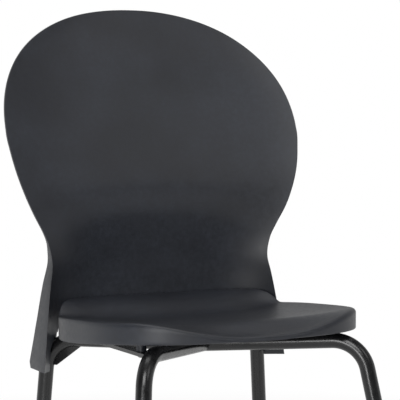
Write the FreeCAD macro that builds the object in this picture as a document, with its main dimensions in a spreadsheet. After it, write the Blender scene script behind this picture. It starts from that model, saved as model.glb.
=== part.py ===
import FreeCAD, Part
import math
import os
import Sketcher
from FreeCAD import Placement, Rotation, Vector

# Choir chair: a moulded seat and a balloon-shaped moulded back on a frame of round steel tube.
# The sitter faces -Y, so the sitter's right is -X, and the floor is z = 0. Depths are drawn from a
# datum near the rails' crossing, and the finished pieces are set with the origin under the
# middle of the chair. All sizes are in millimetres.

doc = FreeCAD.newDocument("choir_chair")
sheet = doc.addObject("Spreadsheet::Sheet", "sizes")

DIMENSIONS = [
    ("middle_y", 5.15, "middle of the chair, behind the datum"),
    ("tube_dia", 22.2, "frame tube, outside"),
    ("tube_wall", 1.5, "frame tube, wall"),
    ("front_bend", 50, "axis radius of the bend above each front leg"),
    ("rear_bend", 48, "axis radius of the bend above each rear leg"),
    ("cross_bend", 300, "gentle set of the long tube over the crossing"),
    ("front_corner_x", 169.4, "where a front leg's axis meets its rail, from the middle"),
    ("front_corner_y", 157, "same, forward of the origin"),
    ("front_corner_z", 402.5, "same, above the floor"),
    ("rear_corner_x", 176.7, "where a rear leg's axis meets its rail, from the middle"),
    ("rear_corner_y", 165.3, "same, behind the origin"),
    ("rear_corner_z", 385.5, "same, above the floor"),
    ("cross_z", 387.5, "axis height where the rails cross"),
    ("front_foot_x", 221.4, "front leg's axis at the floor, from the middle"),
    ("front_foot_y", 239, "same, forward of the origin"),
    ("rear_foot_x", 205, "rear leg's axis at the floor, from the middle"),
    ("rear_foot_y", 183.5, "same, behind the origin"),
    ("foot_height", 30, "plastic foot, along the leg"),
    ("foot_wall", 2.6, "plastic foot, wall round the tube"),
    ("foot_sole", 6, "plastic under the tube's end"),
    ("bar_width", 20, "flat side bar under the seat"),
    ("bar_thick", 5, "side bar, thickness"),
    ("bar_x", 150, "side bar's centre line, from the middle"),
    ("bar_z", 393.8, "side bar's underside at its rear end"),
    ("bar_tilt", 0.5, "side bar's rise towards the front, degrees"),
    ("gusset_thick", 4, "plate inside each rear bend"),
    ("gusset_drop", 39.5, "plate's low end below the rail's axis"),
    ("gusset_reach", 50, "plate's reach along the rail"),
    ("upright_dia", 19, "tube that carries the back"),
    ("upright_wall", 1.5, "same, wall"),
    ("upright_low_x", 178, "upright's axis at its foot, from the middle"),
    ("upright_low_y", 166, "same, behind the origin"),
    ("upright_low_z", 358, "same, above the floor"),
    ("upright_bend_x", 154, "where the upright's two runs meet, from the middle"),
    ("upright_bend_y", 182, "same, behind the origin"),
    ("upright_bend_z", 492, "same, above the floor"),
    ("upright_top_x", 150, "upright's axis at its top, from the middle"),
    ("upright_top_y", 178, "same, behind the origin"),
    ("upright_top_z", 600, "same, above the floor"),
    ("upright_bend", 150, "axis radius of that bend"),
    ("cap_depth", 14, "plug in the upright's top"),
    ("cap_brim", 2.5, "plug's brim"),
    ("socket_wall", 2.6, "moulded socket round the upright"),
    ("socket_rise", 75, "lower end of a socket, up the upright from its foot"),
    ("web_thick", 4, "web between a socket and the back"),
    ("boss_dia", 12, "flat boss for a back screw"),
    ("shell_thick", 5, "wall of the moulded back"),
    ("back_top_z", 881.3, "top of the back"),
    ("back_half_width", 244.3, "widest half width of the back"),
    ("back_wide_z", 697, "height of the widest place"),
    ("back_squareness", 2.2, "exponent of the rounded outline above that height"),
    ("back_arch", 40, "how much lower the hollow above the seat ends at the sides"),
    ("skirt_half_width", 202, "half width at the lower end of the skirts"),
    ("skirt_low_z", 341, "lower end of the skirts"),
    ("skirt_wall", 4, "wall of a skirt's outer side"),
    ("skirt_width", 22, "width of a skirt's front face at its lower end"),
    ("panel_low_z", 418, "lower edge of the panel behind the seat"),
    ("seat_half_width", 202, "half width of the seat"),
    ("seat_half_depth", 181, "half depth of the seat"),
    ("seat_y", 5.5, "seat's middle, forward of the origin"),
    ("seat_squareness", 3, "exponent of the seat's rounded outline"),
    ("seat_thick", 5, "wall of the moulded seat"),
    ("seat_round", 7, "rounding of the seat's upper edge"),
    ("seat_rim_z", 435, "rim of the seat above the origin"),
    ("seat_slope", 0.079, "rise of the rim towards the front, per millimetre"),
    ("seat_dish", 13, "hollow of the seat below its rim"),
    ("seat_lip", 22, "upturn along the rear edge"),
    ("seat_fall", 26, "drop of the front edge"),
    ("wall_rear_z", 394.5, "lower edge of the seat's wall at the rear"),
    ("wall_front_z", 416.5, "same, at the front"),
    ("post_dia", 14, "moulded post over each seat screw"),
    ("screw_dia", 5, "screw shank"),
    ("screw_head", 10, "screw head"),
    ("screw_key", 3, "key recess, across flats"),
    ("seat_screw_length", 20, "seat screw's shank"),
    ("back_screw_length", 12, "back screw's shank"),
    ("back_screw_z", 560, "back screw above the floor"),
    ("washer_dia", 14, "washer under each seat screw"),
    ("washer_thick", 1.2, "same, thickness"),
    ("seat_screw_front", 105, "front seat screws, forward of the origin"),
    ("seat_screw_rear", 85, "rear seat screws, behind the origin"),
    ("fit_gap", 0.1, "gap round a screw or a tube in its hole, all round"),
]
for row, (alias, value, note) in enumerate(DIMENSIONS, start=1):
    sheet.set(f"A{row}", note)
    sheet.set(f"B{row}", str(value))
    sheet.setAlias(f"B{row}", alias)
doc.recompute()


def size(alias):
    return float(sheet.get(alias))


SIDES = {"right": -1, "left": 1}
UP = Vector(0, 0, 1)
NODES = []


def node(obj, label):
    """Give a finished sub-part the name of its file."""
    obj.Label = label
    NODES.append(obj)
    return obj


def shape_node(shape, label):
    """A sub-part whose form is made by the functions below."""
    obj = doc.addObject("Part::Feature", label)
    obj.Shape = shape
    return node(obj, label)


def flat_sketch(body, role, name):
    """A sketch on one of the body's own origin planes."""
    plane = next(item for item in body.Origin.OriginFeatures if item.Role == role)
    sketch = body.newObject("Sketcher::SketchObject", name)
    sketch.AttachmentSupport = [(plane, "")]
    sketch.MapMode = "FlatFace"
    return sketch


def closed_outline(sketch, corners):
    """Straight edges through the corners, joined end to end."""
    count = len(corners)
    for index, corner in enumerate(corners):
        sketch.addGeometry(Part.LineSegment(corner, corners[(index + 1) % count]))
    for index in range(count):
        sketch.addConstraint(Sketcher.Constraint("Coincident", index, 2, (index + 1) % count, 1))


def smooth(value, low, high):
    """0 below low, 1 above high, and an even S curve between."""
    share = min(max((value - low) / (high - low), 0.0), 1.0)
    return share * share * (3 - 2 * share)


def spread(first, last, count):
    """Evenly spaced values from first to last."""
    return [first + (last - first) * step / (count - 1) for step in range(count)]


def biggest(shape):
    """The main solid of a cut piece, without the scraps past the cut."""
    return max(shape.Solids, key=lambda solid: solid.Volume)


# Frame tubes

def point(side, kind, place):
    """A corner or foot of a leg: kind is front or rear, place is corner or foot."""
    forward = -1 if kind == "front" else 1
    height = size(f"{kind}_corner_z") if place == "corner" else 0.0
    across = SIDES[side] * size(f"{kind}_{place}_x")
    return Vector(across, forward * size(f"{kind}_{place}_y"), height)


def crossing():
    """Where the two diagonals meet, over the middle of the frame."""
    front = point("right", "front", "corner")
    rear = point("left", "rear", "corner")
    share = -front.x / (rear.x - front.x)
    return Vector(0, front.y + share * (rear.y - front.y), size("cross_z"))


def bent_path(points, radii):
    """Straight runs through the points, with a tangent arc of its own radius at each inner one."""
    edges = []
    start = points[0]
    for before, corner, after, radius in zip(points, points[1:], points[2:], radii):
        back = (before - corner).normalize()
        ahead = (after - corner).normalize()
        half = back.getAngle(ahead) / 2
        reach = radius / math.tan(half)
        middle = (back + ahead).normalize() * (radius / math.sin(half) - radius)
        edges.append(Part.LineSegment(start, corner + back * reach).toShape())
        edges.append(Part.Arc(corner + back * reach, corner + middle, corner + ahead * reach).toShape())
        start = corner + ahead * reach
    edges.append(Part.LineSegment(start, points[-1]).toShape())
    return Part.Wire(edges)


def rod(points, radii, diameter):
    """A solid round bar along a bent path."""
    heading = points[1] - points[0]
    section = Part.Wire([Part.makeCircle(diameter / 2, points[0], heading)])
    return bent_path(points, radii).makePipeShell([section], True, True)


def leg_axis(side, kind):
    """Unit vector up a leg."""
    return (point(side, kind, "corner") - point(side, kind, "foot")).normalize()


def leg_end(side, kind):
    """The tube's lower end, on the sole of its foot."""
    axis = leg_axis(side, kind)
    return point(side, kind, "foot") + axis * (size("foot_sole") / axis.z)


TUBE_ROUTES = {
    "frame_tube_long": (
        [
            leg_end("right", "front"),
            point("right", "front", "corner"),
            crossing(),
            point("left", "rear", "corner"),
            leg_end("left", "rear"),
        ],
        [size("front_bend"), size("cross_bend"), size("rear_bend")],
    ),
    "frame_tube_rear_right": (
        [leg_end("right", "rear"), point("right", "rear", "corner"), crossing()],
        [size("rear_bend")],
    ),
    "frame_tube_front_left": (
        [leg_end("left", "front"), point("left", "front", "corner"), crossing()],
        [size("front_bend")],
    ),
}


def tube_rods(diameter):
    return {name: rod(points, radii, diameter) for name, (points, radii) in TUBE_ROUTES.items()}


outer_rods = tube_rods(size("tube_dia"))
inner_rods = tube_rods(size("tube_dia") - 2 * size("tube_wall"))
for name in TUBE_ROUTES:
    hollow = outer_rods[name].cut(inner_rods[name])
    if name != "frame_tube_long":
        hollow = hollow.cut(outer_rods["frame_tube_long"])
    shape_node(biggest(hollow), name)

# Everything that is welded to the tubes is cut to their round with this.
tube_envelope = doc.addObject("Part::Feature", "tube_envelope")
tube_envelope.Shape = Part.makeCompound([]).fuse(list(outer_rods.values()))


def trimmed(blank, tool, label):
    """The blank with the tool's solid taken out of it."""
    cut = doc.addObject("Part::Cut", label)
    cut.Base = blank
    cut.Tool = tool
    return node(cut, label)


# Side bars: flat strips that lie on the bends and carry the seat

def rail_y(kind, across):
    """Where a rail's axis lies along Y, at a distance across from the middle."""
    corner = point("left", kind, "corner")
    middle = crossing()
    return middle.y + (corner.y - middle.y) * across / corner.x


def bar_height(depth):
    """Height of a side bar's underside at a place along Y."""
    return size("bar_z") + (size("rear_corner_y") - depth) * math.tan(math.radians(size("bar_tilt")))


def bar_normal():
    tilt = math.radians(size("bar_tilt"))
    return Vector(0, math.sin(tilt), math.cos(tilt))


def seat_screw_places():
    """Where each seat screw meets the underside of its side bar."""
    depths = (-size("seat_screw_front"), size("seat_screw_rear"))
    return [Vector(sign * size("bar_x"), depth, bar_height(depth))
            for sign in SIDES.values() for depth in depths]


def side_bar(side):
    half = size("bar_width") / 2
    inner = size("bar_x") - half
    outer = size("bar_x") + half
    sign = SIDES[side]
    body = doc.addObject("PartDesign::Body", f"bar_blank_{side}")
    sketch = flat_sketch(body, "XY_Plane", f"bar_outline_{side}")
    closed_outline(sketch, [
        Vector(-sign * half, rail_y("front", inner), 0),
        Vector(sign * half, rail_y("front", outer), 0),
        Vector(sign * half, rail_y("rear", outer), 0),
        Vector(-sign * half, rail_y("rear", inner), 0),
    ])
    for depth in (-size("seat_screw_front"), size("seat_screw_rear")):
        hole = sketch.addGeometry(Part.Circle(Vector(0, depth, 0), UP, size("screw_dia")))
        diameter = sketch.addConstraint(Sketcher.Constraint("Diameter", hole, size("screw_dia")))
        sketch.setExpression(f"Constraints[{diameter}]", "sizes.screw_dia + 6 * sizes.fit_gap")
    pad = body.newObject("PartDesign::Pad", f"bar_pad_{side}")
    pad.Profile = sketch
    pad.setExpression("Length", "sizes.bar_thick")
    tilt = Rotation(Vector(1, 0, 0), -size("bar_tilt"))
    body.Placement = Placement(Vector(sign * size("bar_x"), 0, bar_height(0)), tilt)
    trimmed(body, tube_envelope, f"side_bar_{side}")


for side in SIDES:
    side_bar(side)


def tube_reliefs():
    """The tubes a little larger, to keep the moulded shells clear of them."""
    return list(tube_rods(size("tube_dia") + 6 * size("fit_gap")).values())


# Gusset plates: in the plane of each rear leg and its rail, inside the bend

def rear_gusset(side):
    radius = size("rear_bend")
    drop = size("gusset_drop")
    reach = size("gusset_reach")
    start = size("tube_dia") / 2 + 2
    height = size("tube_dia") / 2
    body = doc.addObject("PartDesign::Body", f"gusset_blank_{side}")
    sketch = flat_sketch(body, "XZ_Plane", f"gusset_outline_{side}")
    low_inner = Vector(radius - math.sqrt(radius ** 2 - (drop - radius) ** 2), -drop, 0)
    low_outer = Vector(start, -drop, 0)
    high_outer = Vector(reach, -height, 0)
    high_inner = Vector(reach, 0, 0)
    arc_end = Vector(radius, 0, 0)
    arc_middle = Vector(radius * (1 - math.sqrt(0.5)), -radius * (1 - math.sqrt(0.5)), 0)
    for first, last in ((low_inner, low_outer), (low_outer, high_outer),
                        (high_outer, high_inner), (high_inner, arc_end)):
        sketch.addGeometry(Part.LineSegment(first, last))
    sketch.addGeometry(Part.Arc(arc_end, arc_middle, low_inner))
    pad = body.newObject("PartDesign::Pad", f"gusset_pad_{side}")
    pad.Profile = sketch
    pad.SideType = "Symmetric"
    pad.setExpression("Length", "sizes.gusset_thick")
    corner = point(side, "rear", "corner")
    inward = crossing() - corner
    heading = math.degrees(math.atan2(inward.y, inward.x))
    body.Placement = Placement(corner, Rotation(UP, heading))
    trimmed(body, tube_envelope, f"gusset_rear_{side}")


for side in SIDES:
    rear_gusset(side)


# Uprights: tubes that stand on the rear bends, lean in under the skirts and carry the back

def upright_point(side, end):
    across = SIDES[side] * size(f"upright_{end}_x")
    return Vector(across, size(f"upright_{end}_y"), size(f"upright_{end}_z"))


def upright_rod(side, diameter, rise=0.0):
    """A solid bar on the upright's axis, its low end moved up the lower run by rise."""
    low, bend, top = (upright_point(side, end) for end in ("low", "bend", "top"))
    start = low + (bend - low).normalize() * rise
    return rod([start, bend, top], [size("upright_bend")], diameter)


def back_screw_place(side):
    """Where a back screw crosses the upright's axis."""
    bend = upright_point(side, "bend")
    top = upright_point(side, "top")
    share = (size("back_screw_z") - bend.z) / (top.z - bend.z)
    return bend + (top - bend) * share


def back_screw_hole(side):
    radius = size("screw_dia") / 2 + size("fit_gap")
    return Part.makeCylinder(radius, 30, back_screw_place(side), Vector(0, 1, 0))


for side in SIDES:
    bore = upright_rod(side, size("upright_dia") - 2 * size("upright_wall"))
    standing = upright_rod(side, size("upright_dia")).cut(bore).cut(tube_envelope.Shape)
    shape_node(biggest(standing.cut(back_screw_hole(side))), f"back_upright_{side}")


# Caps: plastic plugs in the open tops of the uprights

def cylinder(name, radius, height, placement):
    """A cylinder whose radius and height are written in terms of the sheet."""
    part = doc.addObject("Part::Cylinder", name)
    part.setExpression("Radius", radius)
    part.setExpression("Height", height)
    part.Placement = placement
    return part


for side in SIDES:
    top = upright_point(side, "top")
    aim = Rotation(UP, top - upright_point(side, "bend"))
    plug = cylinder(f"cap_plug_{side}", "sizes.upright_dia / 2 - sizes.upright_wall", "sizes.cap_depth",
                    Placement(top - aim.multVec(UP * size("cap_depth")), aim))
    brim = cylinder(f"cap_brim_{side}", "sizes.upright_dia / 2", "sizes.cap_brim", Placement(top, aim))
    cap = doc.addObject("Part::Fuse", f"upright_cap_{side}")
    cap.Base = plug
    cap.Tool = brim
    node(cap, f"upright_cap_{side}")


# Feet: plastic cups pushed over the tube ends, cut level with the floor

floor_block = doc.addObject("Part::Box", "floor_block")
floor_block.Length = 800
floor_block.Width = 800
floor_block.Height = 40
floor_block.Placement = Placement(Vector(-400, -400, -40), Rotation())


def leg_foot(side, kind):
    bore = size("tube_dia") / 2
    outer = bore + size("foot_wall")
    below_floor = -8
    sole = size("foot_sole") / leg_axis(side, kind).z
    high = sole + size("foot_height")
    bevel = 1.5
    body = doc.addObject("PartDesign::Body", f"foot_blank_{kind}_{side}")
    sketch = flat_sketch(body, "XZ_Plane", f"foot_profile_{kind}_{side}")
    closed_outline(sketch, [
        Vector(0, below_floor, 0),
        Vector(outer, below_floor, 0),
        Vector(outer, high - bevel, 0),
        Vector(outer - bevel, high, 0),
        Vector(bore, high, 0),
        Vector(bore, sole, 0),
        Vector(0, sole, 0),
    ])
    turn = body.newObject("PartDesign::Revolution", f"foot_turn_{kind}_{side}")
    turn.Profile = sketch
    turn.ReferenceAxis = (sketch, ["V_Axis"])
    turn.Angle = 360
    body.Placement = Placement(point(side, kind, "foot"), Rotation(UP, leg_axis(side, kind)))
    trimmed(body, floor_block, f"foot_{kind}_{side}")


for kind in ("front", "rear"):
    for side in SIDES:
        leg_foot(side, kind)


# Moulded shells: a wall that follows a depth or height formula, trimmed by an outline

def surface(rows, columns, place):
    """A smooth face through place(a, b), for a and b in the two lists."""
    face = Part.BSplineSurface()
    face.interpolate([[place(a, b) for b in columns] for a in rows])
    return face.toShape()


def spline(points):
    curve = Part.BSplineCurve()
    curve.interpolate(points)
    return curve.toShape()


def line(first, last):
    return Part.LineSegment(first, last).toShape()


def mirrored(points):
    return [Vector(-place.x, place.y, place.z) for place in reversed(points)]


# Back: wide and round above, a waist behind the seat, and skirts that hang outside the frame.
# Each section gives its height, how far back the middle of the front face is there, how far
# back its edge is, the half width at that edge, and how late the face curves forward to it.
BACK_SECTIONS = [
    (320, 172, 113, 204, 4.2),
    (342, 176, 116, 202.3, 4.2),
    (400, 183, 123, 196, 4.4),
    (445, 186, 129, 190, 4.5),
    (470, 186, 132.5, 186, 4.5),
    (498, 184, 137, 181.4, 4.2),
    (525, 179, 137.2, 186.2, 3.7),
    (545, 174, 134.6, 195.2, 3.2),
    (575, 166.5, 132.1, 212, 2.5),
    (605, 165, 133.8, 225.2, 2),
    (635, 171.5, 138.5, 235, 2),
    (665, 181.7, 146.5, 241.2, 2),
    (695, 192.5, 156.2, 244.3, 2),
    (755, 215.4, 182, 235, 2),
    (815, 238.7, 215.4, 196.5, 2),
    (850, 249.5, 234.5, 156, 2),
    (900, 263.5, 259.5, 79, 2),
    (950, 277, 277, 60, 2),
]
MIDDLE, EDGE, HALF_WIDTH, LATENESS = 1, 2, 3, 4

# The rear edge of a skirt's outer wall: height, and how far back it is
SKIRT_REAR = [(350, 181.5), (381, 175), (418, 169), (466, 164.5), (490, 161), (515, 152), (530, 144.5), (545, 138.5)]


def section_value(height, column):
    """A column of the sections at any height, on a curve without kinks through the rows."""
    rows = BACK_SECTIONS
    index = next((i for i in range(1, len(rows) - 2) if height <= rows[i + 1][0]), len(rows) - 3)
    if height < rows[1][0]:
        index = 0
    low, high = rows[index], rows[index + 1]
    before = rows[max(index - 1, 0)]
    after = rows[index + 2]
    span = high[0] - low[0]
    share = (height - low[0]) / span
    low_slope = (high[column] - before[column]) / (high[0] - before[0]) * span
    high_slope = (after[column] - low[column]) / (after[0] - low[0]) * span
    rest = 1 - share
    return (low[column] * (1 + 2 * share) * rest ** 2 + high[column] * (3 - 2 * share) * share ** 2
            + low_slope * share * rest ** 2 - high_slope * rest * share ** 2)


def back_depth(across, height):
    """How far back the front face is at a place of the back."""
    reach = abs(across) / section_value(height, HALF_WIDTH)
    late = section_value(height, LATENESS)
    edge = section_value(height, EDGE)
    middle = section_value(height + size("back_arch") * min(reach, 1) ** 2, MIDDLE)
    turn = reach ** late if reach < 1 else 1 + late * (reach - 1)
    return middle - (middle - edge) * turn


def back_outline():
    """The back seen from the front, as a closed wire in the plane y = 0."""
    top = size("back_top_z")
    wide = size("back_half_width")
    wide_z = size("back_wide_z")
    power = 2 / size("back_squareness")
    crown = []
    for degrees in range(75, -1, -15):
        angle = math.radians(degrees)
        rise = (top - wide_z) * math.sin(angle) ** power
        crown.append(Vector(wide * math.cos(angle) ** power, 0, wide_z + rise))
    flank_heights = [665, 635, 605, 575, 545, 525, 508, 495, 480, 460, 430, 390]
    flank = [Vector(section_value(height, HALF_WIDTH), 0, height) for height in flank_heights]
    skirt = Vector(size("skirt_half_width"), 0, size("skirt_low_z"))
    right_half = crown + flank + [skirt]
    rim = spline(mirrored(right_half) + [Vector(0, 0, top)] + right_half)
    skirt_inner = Vector(skirt.x - size("skirt_width"), 0, skirt.z - 3)
    above_rail = Vector(skirt_inner.x, 0, size("panel_low_z") - 17)
    panel_corner = Vector(skirt_inner.x - 12, 0, size("panel_low_z"))
    lower = [skirt, skirt_inner, above_rail, panel_corner]
    return Part.Wire([rim] + Part.makePolygon(lower + mirrored(lower)).Edges)


def skirt_wall(sign):
    """The outer wall of a skirt: it starts at the waist and is deepest at its low end."""
    inset = 0.2
    outside = surface(spread(330, 550, 15), spread(90, 220, 4), lambda height, depth: Vector(
        sign * (section_value(height, HALF_WIDTH) - inset), depth, height))
    wall = outside.extrude(Vector(-sign * size("skirt_wall"), 0, 0))
    low_z = size("skirt_low_z")
    front = [Vector(0, section_value(height, EDGE) + 1, height) for height in spread(low_z, 545, 8)]
    rear = [Vector(0, depth, height) for height, depth in reversed(SKIRT_REAR)]
    corner = rear[-1] + Vector(0, -6, low_z - rear[-1].z)
    outline = Part.Wire([spline(front), line(front[-1], rear[0]), spline(rear),
                         line(rear[-1], corner), line(corner, front[0])])
    return wall.common(Part.Face(outline).extrude(Vector(sign * 300, 0, 0)))


def socket(side, behind):
    """The moulded sleeve that drops over an upright, its web and its boss for the screw."""
    outer = size("upright_dia") + 2 * size("fit_gap") + 2 * size("socket_wall")
    sleeve = upright_rod(side, outer, size("socket_rise"))
    bend = upright_point(side, "bend")
    top = upright_point(side, "top")
    inner = (bend.x + top.x - size("web_thick")) / 2
    forward = 120
    low_z = bend.z - 20
    high_z = top.z - 4
    web = Part.Face(Part.makePolygon([
        Vector(inner, bend.y, low_z),
        Vector(inner, top.y, high_z),
        Vector(inner, forward, high_z),
        Vector(inner, forward, low_z),
        Vector(inner, bend.y, low_z),
    ])).extrude(Vector(size("web_thick"), 0, 0)).common(behind)
    boss = Part.makeCylinder(size("boss_dia") / 2, outer / 2 + 1, back_screw_place(side), Vector(0, 1, 0))
    return [sleeve, web, boss]


def back_shell():
    front_face = surface(spread(-262, 262, 33), spread(325, 895, 35),
                         lambda across, height: Vector(across, back_depth(across, height), height))
    wall = front_face.extrude(Vector(0, size("shell_thick"), 0))
    behind = front_face.extrude(Vector(0, 120, 0))
    shell = wall.common(Part.Face(back_outline()).extrude(Vector(0, 400, 0)))
    shell = shell.fuse([skirt_wall(sign) for sign in SIDES.values()])
    for side in SIDES:
        shell = shell.fuse(socket(side, behind))
    for side in SIDES:
        shell = shell.cut(upright_rod(side, size("upright_dia") + 2 * size("fit_gap")))
        shell = shell.cut(back_screw_hole(side))
    return biggest(shell.cut(tube_reliefs()))


shape_node(back_shell(), "back_shell")


# Seat: a rounded square dish with a deep side wall, an upturned rear edge and a falling front edge

def seat_reach(across, along):
    """1 on the seat's outline, less inside it."""
    power = size("seat_squareness")
    depth = along + size("seat_y")
    return (abs(across / size("seat_half_width")) ** power
            + abs(depth / size("seat_half_depth")) ** power) ** (1 / power)


def seat_rim(across, along):
    """Height of the seat's top face at its outline, carried on inside it."""
    rim = size("seat_rim_z") - size("seat_slope") * along
    near_corner = min(abs(across) / 185, 1) ** 4
    lip = smooth(along, 84 + 16 * near_corner, 160 - 30 * near_corner)
    front = -size("seat_y") - size("seat_half_depth")
    fall = smooth(front + 72 - along, 0, 72) * (1 - smooth(abs(across), 20, 220))
    return rim + size("seat_lip") * lip - size("seat_fall") * fall


def seat_top(across, along):
    hollow = size("seat_dish") * (1 - min(seat_reach(across, along), 1) ** 2.5)
    return seat_rim(across, along) - hollow


def seat_wall_low(along):
    """Height of the side wall's lower edge."""
    rear = size("wall_rear_z")
    return rear + (size("wall_front_z") - rear) * smooth(-along, -110, 190)


def seat_column(inset):
    """The solid that stands on the seat's outline, drawn in by inset."""
    half_width = size("seat_half_width") - inset
    half_depth = size("seat_half_depth") - inset
    power = 2 / size("seat_squareness")
    places = []
    for degrees in spread(0, 352.5, 48):
        cosine = math.cos(math.radians(degrees))
        sine = math.sin(math.radians(degrees))
        across = half_width * math.copysign(abs(cosine) ** power, cosine)
        along = half_depth * math.copysign(abs(sine) ** power, sine) - size("seat_y")
        places.append(Vector(across, along, 320))
    ring = Part.BSplineCurve()
    ring.interpolate(Points=places, PeriodicFlag=True)
    return Part.Face(Part.Wire([ring.toShape()])).extrude(Vector(0, 0, 200))


def seat_post(place):
    """A moulded post from the seat's underside to the top of a side bar."""
    radius = size("post_dia") / 2
    foot = place + UP * (size("bar_thick") + size("fit_gap"))
    return Part.makeCone(radius, radius + 2, 60, foot, UP)


def seat_shell():
    wide = spread(-215, 215, 37)
    long = spread(-205, 190, 37)
    drop = Vector(0, 0, -90)
    thick = size("seat_thick")
    top = surface(wide, long, lambda a, b: Vector(a, b, seat_top(a, b)))
    under = surface(wide, long, lambda a, b: Vector(a, b, seat_top(a, b) - thick))
    rim_line = [Vector(-260, depth, seat_wall_low(depth)) for depth in spread(-215, 200, 12)]
    below = spline(rim_line).extrude(Vector(520, 0, 0)).extrude(Vector(0, 0, -140))
    block = top.extrude(drop).common(seat_column(0))
    upper = [edge for edge in block.Edges if edge.CenterOfMass.z > 410 and edge.Length > 200]
    rounded = block.makeFillet(size("seat_round"), upper)
    hollow = under.extrude(drop).common(seat_column(thick))
    shell = rounded.cut(hollow).cut(below)
    posts = [seat_post(place) for place in seat_screw_places()]
    shell = shell.fuse([post.common(rounded) for post in posts])
    radius = size("screw_dia") / 2 + size("fit_gap")
    holes = [Part.makeCylinder(radius, size("seat_screw_length"), place, bar_normal())
             for place in seat_screw_places()]
    return biggest(shell.cut(holes + bar_reliefs() + tube_reliefs()))


def bar_reliefs():
    """Notches in the wall's lower edge where the side bars pass under it."""
    half = size("bar_width") / 2 + 1.5
    reliefs = []
    for sign in SIDES.values():
        high = bar_height(100) + size("bar_thick") + 0.6
        corner = Vector(sign * size("bar_x") - half, 100, high - 30)
        reliefs.append(Part.makeBox(2 * half, 80, 30, corner))
    return reliefs


shape_node(seat_shell(), "seat_shell")


# Fasteners

def screw(place, heading, length):
    """A button-head screw whose shank starts at place and runs along heading."""
    radius = size("screw_dia") / 2
    head = size("screw_head") / 2
    crown = 2.8
    rim = 0.8
    key = size("screw_key") / math.sqrt(3)
    dome = Part.Arc(Vector(head, 0, -rim), Vector(head * 0.72, 0, -crown * 0.78), Vector(0, 0, -crown))
    edges = [
        line(Vector(0, 0, length), Vector(radius, 0, length)),
        line(Vector(radius, 0, length), Vector(radius, 0, 0)),
        line(Vector(radius, 0, 0), Vector(head, 0, 0)),
        line(Vector(head, 0, 0), Vector(head, 0, -rim)),
        dome.toShape(),
        line(Vector(0, 0, -crown), Vector(0, 0, length)),
    ]
    solid = Part.Face(Part.Wire(edges)).revolve(Vector(0, 0, 0), UP, 360)
    corners = [Vector(key * math.cos(math.radians(60 * i)), key * math.sin(math.radians(60 * i)), -crown)
               for i in range(7)]
    recess = Part.Face(Part.makePolygon(corners)).extrude(Vector(0, 0, 1.8))
    solid = solid.cut(recess)
    solid.Placement = Placement(place, Rotation(UP, heading))
    return solid


def washer(place):
    """A plain washer with its upper face at place."""
    normal = bar_normal()
    low = place - normal * size("washer_thick")
    disc = Part.makeCylinder(size("washer_dia") / 2, size("washer_thick"), low, normal)
    return disc.cut(Part.makeCylinder(size("screw_dia") / 2 + size("fit_gap"), 5, low - normal, normal))


places = seat_screw_places()
under_washer = bar_normal() * -size("washer_thick")
seat_screws = [screw(place + under_washer, bar_normal(), size("seat_screw_length")) for place in places]
shape_node(Part.makeCompound(seat_screws), "seat_screws")
shape_node(Part.makeCompound([washer(place) for place in places]), "seat_washers")

boss_face = size("upright_dia") / 2 + size("fit_gap") + size("socket_wall") + 1
back_screws = [screw(back_screw_place(side) + Vector(0, boss_face, 0), Vector(0, -1, 0),
                     size("back_screw_length")) for side in SIDES]
shape_node(Part.makeCompound(back_screws), "back_screws")


def finish():
    """Set the pieces over the origin, check every object and write the sub-parts."""
    doc.recompute()
    shift = Placement(Vector(0, -size("middle_y"), 0), Rotation())
    for obj in NODES:
        obj.Placement = shift.multiply(obj.Placement)
    doc.recompute()
    failed = [obj.Name for obj in doc.Objects if "Invalid" in obj.State or "Error" in obj.State]
    if failed:
        raise RuntimeError(f"failed objects: {failed}")
    os.makedirs("parts", exist_ok=True)
    for obj in NODES:
        if obj.Shape.isNull() or not obj.Shape.isValid():
            raise RuntimeError(f"bad shape: {obj.Label}")
        obj.Shape.exportStep(f"parts/{obj.Label}.step")
        box = obj.Shape.BoundBox
        print(f"{obj.Label}: {len(obj.Shape.Solids)} solid, {obj.Shape.Volume:.0f} mm3,",
              f"x {box.XMin:.1f} {box.XMax:.1f} y {box.YMin:.1f} {box.YMax:.1f} z {box.ZMin:.1f} {box.ZMax:.1f}")


finish()
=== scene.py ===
import bmesh
import bpy
import math
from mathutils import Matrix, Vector


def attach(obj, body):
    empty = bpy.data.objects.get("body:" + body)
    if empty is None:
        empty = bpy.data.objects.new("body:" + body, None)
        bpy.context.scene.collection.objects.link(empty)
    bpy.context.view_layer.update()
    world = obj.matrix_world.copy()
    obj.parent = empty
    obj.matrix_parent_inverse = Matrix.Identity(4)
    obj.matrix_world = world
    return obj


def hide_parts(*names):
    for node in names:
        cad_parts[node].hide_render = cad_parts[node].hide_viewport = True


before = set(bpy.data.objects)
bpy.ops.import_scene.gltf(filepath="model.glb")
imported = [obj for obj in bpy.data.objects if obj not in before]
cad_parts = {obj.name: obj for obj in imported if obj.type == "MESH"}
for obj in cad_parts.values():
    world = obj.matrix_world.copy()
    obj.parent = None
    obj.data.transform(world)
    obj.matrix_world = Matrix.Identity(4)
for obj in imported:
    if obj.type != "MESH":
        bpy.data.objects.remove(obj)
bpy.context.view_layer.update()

# Choir chair: a moulded seat and a balloon-shaped moulded back on a frame of black round tube.
# Sizes are in millimetres, and depths are from the rails' crossing, as on the drawing.
mm = 0.001
middleY = 5.15  # the origin is this far behind the crossing


def place(across, depth, height):
    return Vector((across, depth - middleY, height)) * mm


def linear(code):
    # sRGB hex to linear, with alpha
    values = []
    for i in (0, 2, 4):
        value = int(code[i:i + 2], 16) / 255
        values.append(value / 12.92 if value <= 0.04045 else ((value + 0.055) / 1.055) ** 2.4)
    return (*values, 1.0)


def smooth(value, low, high):
    share = min(max((value - low) / (high - low), 0.0), 1.0)
    return share * share * (3 - 2 * share)


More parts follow.
